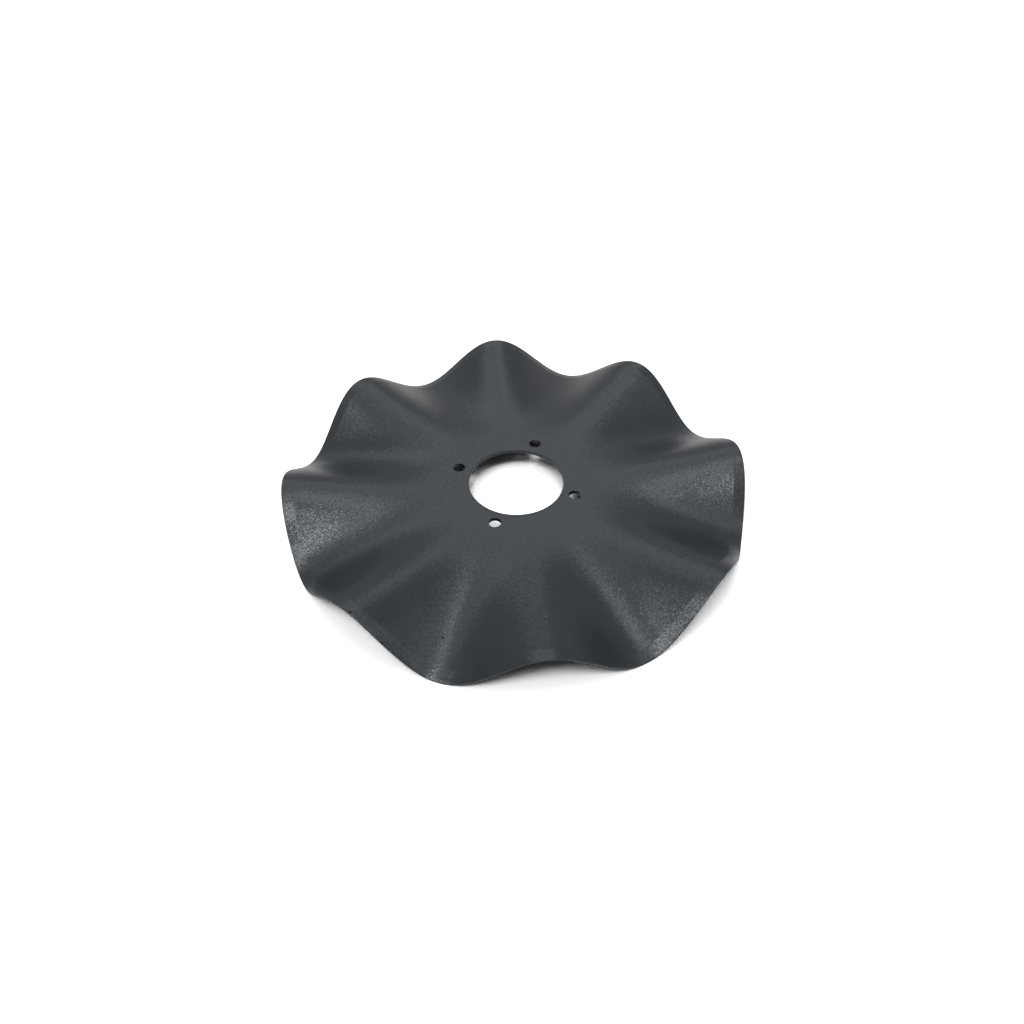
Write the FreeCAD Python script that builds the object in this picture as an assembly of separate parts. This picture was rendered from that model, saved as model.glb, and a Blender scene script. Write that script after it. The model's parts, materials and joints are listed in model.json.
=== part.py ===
import FreeCAD, Part
import math
import os

# Wavy seed drill disc, pressed from one flat steel plate and ground to an edge. Sizes in millimetres.
# +Z is the disc's axis, Z = 0 is the middle of the plate, and +X runs out along the crest of a wave.

outer_diameter = 457.0
plate_thickness = 4.0

wave_count = 8
wave_height = 45.4     # from the bottom of a trough to the top of a crest, at the rim
wave_growth = 1.5      # power of the growth outwards: 1 is even, more starts the waves gently

bevel_width = 11.0     # ground band round the rim, on both faces
edge_thickness = 1.5   # blunt cutting edge that the two bevels leave

bore_diameter = 96.0
bore_chamfer = 0.6     # on the bore's upper edge

bolt_count = 4
bolt_hole_diameter = 12.0
bolt_web = 8.0         # steel between the bore and a bolt hole
first_bolt_angle = 64.5  # degrees round from the crest on +X
hub_margin = 10.0      # flat steel beyond the bolt holes, before the waves begin

points_per_wave = 8    # points that carry a ring curve through one wave
band_count = 14        # ruled bands that carry a wavy face from the hub to the bevel

outer_radius = outer_diameter / 2
bevel_radius = outer_radius - bevel_width
bore_radius = bore_diameter / 2
bolt_hole_radius = bolt_hole_diameter / 2
bolt_circle_radius = bore_radius + bolt_web + bolt_hole_radius
hub_radius = bolt_circle_radius + bolt_hole_radius + hub_margin
wave_span = outer_radius - hub_radius
half_plate = plate_thickness / 2
half_edge = edge_thickness / 2
full_turn = 2 * math.pi


def crest_height(radius):
    """Height of a crest above the plate's middle plane at this radius."""
    return wave_height / 2 * ((radius - hub_radius) / wave_span) ** wave_growth


def crest_slope(radius):
    """How fast the crest climbs on its way outwards."""
    return crest_height(radius) * wave_growth / (radius - hub_radius)


def face_height(radius, angle, level):
    """Height of the wavy face that lies this level from the plate's middle, measured square to it."""
    if radius <= hub_radius:
        return level
    phase = wave_count * angle
    slope_round = wave_count * crest_height(radius) * math.sin(phase) / radius
    slope_out = crest_slope(radius) * math.cos(phase)
    upright = level * math.sqrt(1 + slope_round ** 2 + slope_out ** 2)
    return crest_height(radius) * math.cos(phase) + upright


def ring(radius, level):
    """Closed curve once round the disc on a wavy face, in one arc for each wave."""
    count = wave_count * points_per_wave
    turns = [full_turn * i / count for i in range(count + 1)]
    points = []
    for turn in turns[:-1]:
        height = face_height(radius, turn, level)
        points.append(FreeCAD.Vector(radius * math.cos(turn), radius * math.sin(turn), height))
    curve = Part.BSplineCurve()
    curve.interpolate(Points=points, PeriodicFlag=True, Parameters=turns)
    ends = turns[::points_per_wave]
    return Part.Wire([curve.toShape(start, end) for start, end in zip(ends, ends[1:])])


def skin(level, edge_level):
    """One side of the plate: flat hub, wavy bands and bevel, out to the cutting edge."""
    step = (bevel_radius - hub_radius) / band_count
    rings = [ring(hub_radius + step * i, level) for i in range(band_count + 1)]
    rings.append(ring(outer_radius, edge_level))
    hub = Part.Face(rings[0])
    return [hub] + Part.makeLoft(rings, False, True).Faces


def pressed_plate():
    rim = Part.makeLoft([ring(outer_radius, half_edge), ring(outer_radius, -half_edge)], False, True)
    shell = Part.Shell(skin(half_plate, half_edge) + skin(-half_plate, -half_edge) + rim.Faces)
    shell.sewShape()
    plate = Part.makeSolid(shell)
    if plate.Volume < 0:
        plate.reverse()
    return plate


def hole(radius, offset, turn):
    """Upright cylinder through the plate, this far out from the axis and this far round it."""
    reach = wave_height + plate_thickness
    foot = FreeCAD.Vector(offset * math.cos(turn), offset * math.sin(turn), -reach)
    return Part.makeCylinder(radius, 2 * reach, foot)


def hub_holes():
    holes = [hole(bore_radius, 0, 0)]
    for i in range(bolt_count):
        turn = math.radians(first_bolt_angle) + full_turn * i / bolt_count
        holes.append(hole(bolt_hole_radius, bolt_circle_radius, turn))
    return holes


def bore_mouth():
    """Cone that takes the sharp corner off the bore's upper edge."""
    foot = FreeCAD.Vector(0, 0, half_plate - bore_chamfer)
    return Part.makeCone(bore_radius, bore_radius + bore_chamfer, bore_chamfer, foot)


disc = pressed_plate().cut(hub_holes() + [bore_mouth()]).Solids[0]

os.makedirs("parts", exist_ok=True)
disc.exportStep("parts/wavy_disc.step")
print("volume", round(disc.Volume), "valid", disc.isValid(), "faces", len(disc.Faces))
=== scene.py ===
import json
import math

import bmesh
import bpy
from mathutils import Matrix, Vector


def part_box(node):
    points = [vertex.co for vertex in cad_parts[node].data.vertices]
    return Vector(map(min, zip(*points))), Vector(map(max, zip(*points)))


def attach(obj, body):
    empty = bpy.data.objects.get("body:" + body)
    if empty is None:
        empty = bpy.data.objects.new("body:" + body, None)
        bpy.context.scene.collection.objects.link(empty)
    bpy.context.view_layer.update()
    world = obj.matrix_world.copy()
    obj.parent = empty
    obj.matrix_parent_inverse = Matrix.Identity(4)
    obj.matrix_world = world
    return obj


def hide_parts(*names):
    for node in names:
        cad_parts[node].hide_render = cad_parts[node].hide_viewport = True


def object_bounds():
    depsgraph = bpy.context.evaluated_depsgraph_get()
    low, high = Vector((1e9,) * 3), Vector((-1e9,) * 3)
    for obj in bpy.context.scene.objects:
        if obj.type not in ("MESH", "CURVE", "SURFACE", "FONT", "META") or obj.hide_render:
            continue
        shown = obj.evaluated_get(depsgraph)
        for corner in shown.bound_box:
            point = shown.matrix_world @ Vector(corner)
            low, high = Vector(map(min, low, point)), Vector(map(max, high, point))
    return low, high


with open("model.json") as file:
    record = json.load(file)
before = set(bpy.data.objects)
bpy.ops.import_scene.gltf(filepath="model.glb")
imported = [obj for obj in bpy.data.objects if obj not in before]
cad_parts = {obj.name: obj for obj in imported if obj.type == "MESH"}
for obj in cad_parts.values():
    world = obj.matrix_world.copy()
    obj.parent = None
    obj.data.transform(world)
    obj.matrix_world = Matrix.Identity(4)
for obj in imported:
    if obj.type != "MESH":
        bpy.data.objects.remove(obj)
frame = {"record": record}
cadLow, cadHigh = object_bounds()
mountSizes = {mount["name"]: mount["dims"] for mount in frame["record"]["mounts"]}
mmPerMetre = 1000            # the record's sizes are in mm


def addObject(name, data):
    thing = bpy.data.objects.new(name, data)
    bpy.context.collection.objects.link(thing)
    return thing


def meshFrom(bm, name):
    mesh = bpy.data.meshes.new(name)
    bm.to_mesh(mesh)
    bm.free()
    return mesh


def addNode(tree, kind, place, **values):
    node = tree.nodes.new(kind)
    node.location = place
    for name, value in values.items():
        setattr(node, name, value)
    return node


def emptyMaterial(name):
    material = bpy.data.materials.new(name)
    material.use_nodes = True
    material.node_tree.nodes.clear()
    return material, material.node_tree


# the pressed plate, in metres, with the sizes that the frame doesn't state
blade = {
    "plate": 0.004,
    "waves": 8,
    "waveHeight": 0.0454,
    "waveGrowth": 1.5,
    "hubMargin": 0.010,      # flat steel beyond the bolt holes
    "bevelWidth": 0.011,
    "bluntEdge": 0.0015,
    "boltHoles": 4,
    "firstHole": 64.5,       # degrees round from the crest on +X
    "boreRound": 0.0006,
    "holeRound": 0.0004,
    "edgeRound": 0.0003,
    "stepsPerWave": 80,
    "hubCuts": 3,
    "waveCuts": 52,
    "bevelCuts": 3,
    "roundSteps": 3,
    "holeSides": 48,
    "lipSteps": 4,
    "punchReach": 3,         # in half plates, up and down from the middle
    "sharpFrom": 35,         # degrees between two faces
    "weld": 0.00001,         # vertices nearer than this are made one
    "onRing": 0.00002,       # how near a vertex is to a ring that it belongs to
}


def radiusOf(vertex):
    return math.hypot(vertex.co.x, vertex.co.y)


def isOnRing(vertex, radius):
    return abs(radiusOf(vertex) - radius) < blade["onRing"]


def closeMesh(bm):
    bmesh.ops.remove_doubles(bm, verts=bm.verts[:], dist=blade["weld"])
    bmesh.ops.recalc_face_normals(bm, faces=bm.faces[:])


def spinSection(section, cuts):
    # a closed half section of the plate is spun through one wave, and copies of that slice go once round
    bm = bmesh.new()
    corners = [bm.verts.new((x, 0, z)) for x, z in section]
    lines = [bm.edges.new(ends) for ends in zip(corners, corners[1:] + corners[:1])]
    for line, count in zip(lines, cuts):
        if count:
            bmesh.ops.subdivide_edges(bm, edges=[line], cuts=count)
    axle = {"cent": (0, 0, 0), "axis": (0, 0, 1)}
    oneWave = 2 * math.pi / blade["waves"]
    otherWaves = blade["waves"] - 1
    bmesh.ops.spin(bm, geom=bm.verts[:] + bm.edges[:], angle=oneWave, steps=blade["stepsPerWave"], **axle)
    bmesh.ops.spin(bm, geom=bm.verts[:] + bm.edges[:] + bm.faces[:], angle=oneWave * otherWaves,
                   steps=otherWaves, use_duplicate=True, **axle)
    closeMesh(bm)
    return bm


def roundEdges(bm, radius, level, size):
    # softens the corner that runs round the plate at this radius, above and below
    def isOnCorner(vertex):
        return isOnRing(vertex, radius) and abs(abs(vertex.co.z) - level) < blade["onRing"]

    def isLevel(line):
        return abs(line.verts[0].co.z - line.verts[1].co.z) < level

    corner = [line for line in bm.edges if all(isOnCorner(v) for v in line.verts) and isLevel(line)]
    bmesh.ops.bevel(bm, geom=corner, offset=size, segments=blade["roundSteps"],
                    affect="EDGES", profile=0.5, material=-1)


def flatHub(boreRadius, flatRadius):
    half = blade["plate"] / 2
    section = [(boreRadius, half), (flatRadius, half), (flatRadius, -half), (boreRadius, -half)]
    bm = spinSection(section, [blade["hubCuts"], 0, blade["hubCuts"], 0])
    roundEdges(bm, boreRadius, half, blade["boreRound"])
    return bm


def flatRing(flatRadius, bevelRadius, outerRadius):
    # the rest of the blank, out to the bevel and its blunt edge
    half = blade["plate"] / 2
    edge = blade["bluntEdge"] / 2
    section = [(flatRadius, half), (bevelRadius, half), (outerRadius, edge),
               (outerRadius, -edge), (bevelRadius, -half), (flatRadius, -half)]
    bm = spinSection(section, [blade["waveCuts"], blade["bevelCuts"], 0,
                               blade["bevelCuts"], blade["waveCuts"], 0])
    roundEdges(bm, outerRadius, edge, blade["edgeRound"])
    return bm


def holeCutter(radius, circleRadius):
    # round punches whose mouths flare into the small lip that the paint leaves on a hole's edge
    half = blade["plate"] / 2
    lip = blade["holeRound"]
    reach = blade["punchReach"] * half
    bm = bmesh.new()
    outline = [(0, -reach), (radius, -reach)]
    for i in range(blade["lipSteps"] + 1):
        turn = math.pi / 2 * i / blade["lipSteps"]
        outline.append((radius + lip * (1 - math.cos(turn)), half - lip * (1 - math.sin(turn))))
    outline += [(radius + lip, reach), (0, reach)]
    points = [bm.verts.new((x, 0, z)) for x, z in outline]
    for ends in zip(points, points[1:]):
        bm.edges.new(ends)
    bmesh.ops.spin(bm, geom=bm.verts[:] + bm.edges[:], cent=(0, 0, 0), axis=(0, 0, 1),
                   angle=2 * math.pi, steps=blade["holeSides"], use_merge=True, use_duplicate=False)
    closeMesh(bm)
    first = bm.copy()
    bm.clear()
    for i in range(blade["boltHoles"]):
        turn = math.radians(blade["firstHole"]) + 2 * math.pi * i / blade["boltHoles"]
        place = Vector((circleRadius * math.cos(turn), circleRadius * math.sin(turn), 0))
        one = first.copy()
        bmesh.ops.translate(one, verts=one.verts[:], vec=place)
        punch = meshFrom(one, "onePunch")
        bm.from_mesh(punch)
        bpy.data.meshes.remove(punch)
    first.free()
    return addObject("holeCutter", meshFrom(bm, "holeCutter"))


def cutHoles(piece, cutter):
    cut = piece.modifiers.new("boltHoles", "BOOLEAN")
    cut.operation = "DIFFERENCE"
    cut.solver = "EXACT"
    cut.object = cutter
    seen = bpy.context.evaluated_depsgraph_get()
    drilled = bpy.data.meshes.new_from_object(piece.evaluated_get(seen))
    piece.modifiers.clear()
    piece.data = drilled
    bpy.data.objects.remove(cutter)


def openInside(bm, radius):
    # takes away the upright wall where the hub and the ring meet
    wall = [face for face in bm.faces if all(isOnRing(v, radius) for v in face.verts)]
    bmesh.ops.delete(bm, geom=wall, context="FACES")


def pressWaves(bm, flatRadius, outerRadius):
    # the flat plate's vertices rise and fall with the waves, and its thickness stays square to its faces
    for vertex in bm.verts:
        radius = radiusOf(vertex)
        if radius <= flatRadius:
            continue
        phase = blade["waves"] * math.atan2(vertex.co.y, vertex.co.x)
        share = (radius - flatRadius) / (outerRadius - flatRadius)
        height = blade["waveHeight"] / 2 * share ** blade["waveGrowth"]
        slopeRound = blade["waves"] * height * math.sin(phase) / radius
        slopeOut = height * blade["waveGrowth"] / (radius - flatRadius) * math.cos(phase)
        upright = math.sqrt(1 + slopeRound ** 2 + slopeOut ** 2)
        vertex.co.z = height * math.cos(phase) + vertex.co.z * upright


def makeBlade(material):
    nodeLow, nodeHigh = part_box("wavy_disc")
    outerRadius = (nodeHigh[0] - nodeLow[0]) / 2
    bevelRadius = outerRadius - blade["bevelWidth"]
    boreRadius = mountSizes["centre_bore"]["r_mm"] / mmPerMetre
    holeRadius = mountSizes["hub_bolts"]["hole_r_mm"] / mmPerMetre
    circleRadius = mountSizes["hub_bolts"]["pcd_mm"] / mmPerMetre / 2
    flatRadius = circleRadius + holeRadius + blade["hubMargin"]
    piece = addObject("wavyBlade", meshFrom(flatHub(boreRadius, flatRadius), "flatHub"))
    cutHoles(piece, holeCutter(holeRadius, circleRadius))

    ring = meshFrom(flatRing(flatRadius, bevelRadius, outerRadius), "flatRing")
    bm = bmesh.new()
    bm.from_mesh(piece.data)
    bm.from_mesh(ring)
    openInside(bm, flatRadius)
    closeMesh(bm)
    pressWaves(bm, flatRadius, outerRadius)
    for face in bm.faces:
        face.smooth = True
    for line in bm.edges:
        startsBevel = all(isOnRing(v, bevelRadius) for v in line.verts)
        line.smooth = line.calc_face_angle(0) < math.radians(blade["sharpFrom"]) and not startsBevel
    bm.to_mesh(piece.data)
    bm.free()
    piece.data.materials.clear()
    piece.data.materials.append(material)
    return piece


# charcoal paint: an even satin ground under a thin coat whose grain is made of small facets
paint = {
    "colour": (0.0228, 0.0268, 0.0311),
    "mottle": 0.06,          # the share by which the colour drifts either way
    "mottleSize": 0.030,
    "mottleDetail": 3,
    "mottleLow": 0.3,        # the noise's own range, spread over the whole drift
    "mottleHigh": 0.7,
    "roughness": 0.38,
    "specular": 0.22,
    "glossTint": (0.83, 0.92, 1.0),
    "coatWeight": 0.135,
    "coatRoughness": 0.18,
    "coatIndex": 2.1,
    "facetSize": 0.0009,
    "coatLean": 0.20,        # how far a facet leans, as a share of the surface's own direction
    "groundLean": 0.04,
    "chipColour": (0.004, 0.004, 0.005),
    "chipRoughness": 0.9,
    "chipCore": 0.6,         # the share of a chip's radius before its edge starts
    "chips": [
        {"place": (-0.1556, -0.1646, 0.0227), "radius": 0.0016},
        {"place": (-0.1316, -0.1862, 0.0055), "radius": 0.0015},
        {"place": (-0.0824, -0.1737, -0.0118), "radius": 0.0012},
        {"place": (0.2178, -0.0404, 0.0037), "radius": 0.0010},
    ],
}


def mottledColour(tree, coords):
    # the ground's colour, drifting a little darker and paler
    drift = addNode(tree, "ShaderNodeTexNoise", (-400, 200))
    drift.inputs["Scale"].default_value = 1 / paint["mottleSize"]
    drift.inputs["Detail"].default_value = paint["mottleDetail"]
    spread = addNode(tree, "ShaderNodeMapRange", (-200, 200))
    spread.inputs["From Min"].default_value = paint["mottleLow"]
    spread.inputs["From Max"].default_value = paint["mottleHigh"]
    mottled = addNode(tree, "ShaderNodeMix", (0, 200), data_type="RGBA")
    for end, share in (("A", 1 - paint["mottle"]), ("B", 1 + paint["mottle"])):
        mottled.inputs[end].default_value = (*[c * share for c in paint["colour"]], 1)
    tree.links.new(coords.outputs["Object"], drift.inputs["Vector"])
    tree.links.new(drift.outputs[0], spread.inputs["Value"])
    tree.links.new(spread.outputs[0], mottled.inputs["Factor"])
    return mottled.outputs["Result"]


def chipMask(tree, coords):
    # 1 inside the chips knocked out of the paint, 0 elsewhere
    mask = None
    for step, chip in enumerate(paint["chips"]):
        row = 500 + 200 * step
        apart = addNode(tree, "ShaderNodeVectorMath", (-800, row), operation="DISTANCE")
        apart.inputs[1].default_value = chip["place"]
        inside = addNode(tree, "ShaderNodeMapRange", (-600, row))
        inside.inputs["From Min"].default_value = chip["radius"] * paint["chipCore"]
        inside.inputs["From Max"].default_value = chip["radius"]
        inside.inputs["To Min"].default_value = 1
        inside.inputs["To Max"].default_value = 0
        tree.links.new(coords.outputs["Object"], apart.inputs[0])
        tree.links.new(apart.outputs["Value"], inside.inputs["Value"])
        if mask is None:
            mask = inside.outputs[0]
        else:
            joined = addNode(tree, "ShaderNodeMath", (-400, row), operation="MAXIMUM")
            tree.links.new(mask, joined.inputs[0])
            tree.links.new(inside.outputs[0], joined.inputs[1])
            mask = joined.outputs[0]
    return mask


def duller(tree, mask, outside, inside, row):
    # a value of the paint that gives way to the chip's own
    between = addNode(tree, "ShaderNodeMapRange", (300, row))
    between.inputs["To Min"].default_value = outside
    between.inputs["To Max"].default_value = inside
    tree.links.new(mask, between.inputs["Value"])
    return between.outputs[0]


def facetNormal(tree, facets, surface, lean, row):
    # the surface's own direction, leant a little another way on each facet of the grain: the facet's
    # random colour, less a middle grey, is the way it leans
    centred = addNode(tree, "ShaderNodeVectorMath", (-400, row), operation="SUBTRACT")
    centred.inputs[1].default_value = (0.5, 0.5, 0.5)
    scaled = addNode(tree, "ShaderNodeVectorMath", (-200, row), operation="SCALE")
    scaled.inputs["Scale"].default_value = lean
    leant = addNode(tree, "ShaderNodeVectorMath", (0, row), operation="ADD")
    normal = addNode(tree, "ShaderNodeVectorMath", (200, row), operation="NORMALIZE")
    tree.links.new(facets.outputs["Color"], centred.inputs[0])
    tree.links.new(centred.outputs[0], scaled.inputs[0])
    tree.links.new(scaled.outputs[0], leant.inputs[0])
    tree.links.new(surface.outputs["Normal"], leant.inputs[1])
    tree.links.new(leant.outputs[0], normal.inputs[0])
    return normal.outputs[0]


def makePaint():
    material, tree = emptyMaterial("charcoalPaint")
    output = addNode(tree, "ShaderNodeOutputMaterial", (900, 0))
    shader = addNode(tree, "ShaderNodeBsdfPrincipled", (600, 0))
    shader.inputs["Specular IOR Level"].default_value = paint["specular"]
    shader.inputs["Specular Tint"].default_value = (*paint["glossTint"], 1)
    shader.inputs["Coat Roughness"].default_value = paint["coatRoughness"]
    shader.inputs["Coat IOR"].default_value = paint["coatIndex"]
    tree.links.new(shader.outputs[0], output.inputs["Surface"])

    coords = addNode(tree, "ShaderNodeTexCoord", (-1000, 0))
    chips = chipMask(tree, coords)
    chipped = addNode(tree, "ShaderNodeMix", (200, 200), data_type="RGBA")
    chipped.inputs["B"].default_value = (*paint["chipColour"], 1)
    roughness = duller(tree, chips, paint["roughness"], paint["chipRoughness"], 500)
    coatWeight = duller(tree, chips, paint["coatWeight"], 0, 800)
    tree.links.new(chips, chipped.inputs["Factor"])
    tree.links.new(mottledColour(tree, coords), chipped.inputs["A"])
    tree.links.new(chipped.outputs["Result"], shader.inputs["Base Color"])
    tree.links.new(roughness, shader.inputs["Roughness"])
    tree.links.new(coatWeight, shader.inputs["Coat Weight"])

    facets = addNode(tree, "ShaderNodeTexVoronoi", (-600, -300))
    facets.inputs["Scale"].default_value = 1 / paint["facetSize"]
    surface = addNode(tree, "ShaderNodeNewGeometry", (-600, -700))
    tree.links.new(coords.outputs["Object"], facets.inputs["Vector"])
    for lean, row, socket in (("groundLean", -300, "Normal"), ("coatLean", -600, "Coat Normal")):
        tree.links.new(facetNormal(tree, facets, surface, paint[lean], row), shader.inputs[socket])
    return material


# soft studio light: each lamp is a broad far-off source, placed by its compass turn and height in degrees
studio = {
    "lamps": [
        {"name": "overhead", "turn": 0, "height": 90, "spread": 16, "strength": 0.28},
        {"name": "highBackRight", "turn": 45, "height": 78, "spread": 16, "strength": 0.17},
        {"name": "midRight", "turn": 11, "height": 67, "spread": 16, "strength": 0.11},
        {"name": "midBack", "turn": 71, "height": 67, "spread": 16, "strength": 0.14},
        {"name": "midBackLeft", "turn": 131, "height": 67, "spread": 16, "strength": 0.08},
        {"name": "key", "turn": 251, "height": 67, "spread": 15, "strength": 0.77},
        {"name": "keyRight", "turn": 281, "height": 67, "spread": 16, "strength": 0.21},
        {"name": "lowLeftBack", "turn": 185, "height": 56, "spread": 18, "strength": 0.18},
        {"name": "lowLeft", "turn": 215, "height": 56, "spread": 17, "strength": 0.67},
        {"name": "lowRightFront", "turn": 335, "height": 56, "spread": 18, "strength": 0.12},
        {"name": "lowBack", "turn": 78, "height": 45, "spread": 24, "strength": 0.17},
        {"name": "lowBackLeft", "turn": 110, "height": 45, "spread": 24, "strength": 0.19},
        {"name": "lowRight", "turn": 350, "height": 45, "spread": 24, "strength": 0.12},
    ],
    "lampDistance": 2,       # only where a lamp is drawn: its light comes from far off
    "fill": 0.02,            # light from all round
    "backdrop": 0.5,         # pale grey, seen behind the floor and in a gloss
    "floorSize": 6.0,
    "floorColour": 0.86,     # what lights the blade from below
    "floorMirrored": 1.1,    # plain white in a gloss
    "floorSeen": 1.65,       # white to the camera, with the blade's shadow
}


def backgroundRays(tree):
    # 1 for every ray that looks at the background: the camera's own, in a gloss and through glass
    path = addNode(tree, "ShaderNodeLightPath", (-300, 300))
    glossy = addNode(tree, "ShaderNodeMath", (0, 300), operation="MAXIMUM")
    both = addNode(tree, "ShaderNodeMath", (200, 300), operation="MAXIMUM")
    tree.links.new(path.outputs["Is Camera Ray"], glossy.inputs[0])
    tree.links.new(path.outputs["Is Glossy Ray"], glossy.inputs[1])
    tree.links.new(glossy.outputs[0], both.inputs[0])
    tree.links.new(path.outputs["Is Transmission Ray"], both.inputs[1])
    return both.outputs[0]


def mixShaders(tree, rays, others, chosen, place):
    # the chosen shader for these rays, the other one for the rest
    mix = addNode(tree, "ShaderNodeMixShader", place)
    tree.links.new(rays, mix.inputs[0])
    tree.links.new(others.outputs[0], mix.inputs[1])
    tree.links.new(chosen.outputs[0], mix.inputs[2])
    return mix


def makeFloor():
    bm = bmesh.new()
    bmesh.ops.create_grid(bm, x_segments=1, y_segments=1, size=studio["floorSize"])
    bmesh.ops.translate(bm, verts=bm.verts[:], vec=(0, 0, cadLow[2]))
    floor = addObject("floor", meshFrom(bm, "floor"))
    material, tree = emptyMaterial("whiteFloor")
    output = addNode(tree, "ShaderNodeOutputMaterial", (900, 0))
    finishes = []
    for step, name in enumerate(["floorColour", "floorMirrored", "floorSeen"]):
        finish = addNode(tree, "ShaderNodeBsdfDiffuse", (100, -200 * step))
        finish.inputs["Color"].default_value = (*[studio[name]] * 3, 1)
        finishes.append(finish)
    lit, mirrored, seen = finishes
    path = addNode(tree, "ShaderNodeLightPath", (400, 400))
    background = mixShaders(tree, backgroundRays(tree), lit, mirrored, (400, 0))
    whole = mixShaders(tree, path.outputs["Is Camera Ray"], background, seen, (700, 0))
    tree.links.new(whole.outputs[0], output.inputs["Surface"])
    floor.data.materials.append(material)


def makeWorld():
    world = bpy.data.worlds.new("studio")
    bpy.context.scene.world = world
    world.use_nodes = True
    tree = world.node_tree
    tree.nodes.clear()
    output = addNode(tree, "ShaderNodeOutputWorld", (800, 0))
    lights = []
    for step, name in enumerate(["fill", "backdrop"]):
        light = addNode(tree, "ShaderNodeBackground", (300, -200 * step))
        light.inputs["Color"].default_value = (1, 1, 1, 1)
        light.inputs["Strength"].default_value = studio[name]
        lights.append(light)
    fill, backdrop = lights
    whole = mixShaders(tree, backgroundRays(tree), fill, backdrop, (550, 0))
    tree.links.new(whole.outputs[0], output.inputs["Surface"])


def makeLamps():
    for lamp in studio["lamps"]:
        data = bpy.data.lights.new(lamp["name"], "SUN")
        data.energy = lamp["strength"]
        data.angle = math.radians(lamp["spread"])
        turn, height = math.radians(lamp["turn"]), math.radians(lamp["height"])
        across = math.cos(height)
        toLamp = Vector((across * math.cos(turn), across * math.sin(turn), math.sin(height)))
        source = addObject(lamp["name"], data)
        source.rotation_euler = toLamp.to_track_quat("Z", "Y").to_euler()
        source.location = toLamp * studio["lampDistance"]


# the camera stands where the photograph was taken from, in metres and degrees
view = {
    "place": (-0.06228, -0.54258, 0.50748),
    "aim": (-0.00846, -0.04467, 0.00200),
    "roll": -0.113,
    "lens": 25.803,
    "sensor": 36.0,
    "shiftX": -0.0005,
    "shiftY": 0.0005,
    "nearest": 0.01,         # nothing nearer or farther is drawn
    "farthest": 50,
}


def makeCamera():
    data = bpy.data.cameras.new("camera")
    data.lens = view["lens"]
    data.sensor_width = view["sensor"]
    data.shift_x = view["shiftX"]
    data.shift_y = view["shiftY"]
    data.clip_start = view["nearest"]
    data.clip_end = view["farthest"]
    camera = addObject("camera", data)
    place, aim = Vector(view["place"]), Vector(view["aim"])
    ahead = (aim - place).normalized()
    right = ahead.cross(Vector((0, 0, 1))).normalized()
    up = right.cross(ahead)
    roll = math.radians(view["roll"])
    rolledRight = right * math.cos(roll) + up * math.sin(roll)
    rolledUp = up * math.cos(roll) - right * math.sin(roll)
    axes = Matrix((rolledRight, rolledUp, -ahead)).transposed()
    camera.matrix_world = Matrix.Translation(place) @ axes.to_4x4()
    bpy.context.scene.camera = camera


bpy.context.scene.view_settings.view_transform = "Standard"
makeCamera()
makeFloor()
makeWorld()
makeLamps()
print("camera, floor and lights are set")

bladePiece = makeBlade(makePaint())
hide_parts("wavy_disc")
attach(bladePiece, "root")
print("blade is pressed and painted, faces:", len(bladePiece.data.polygons))
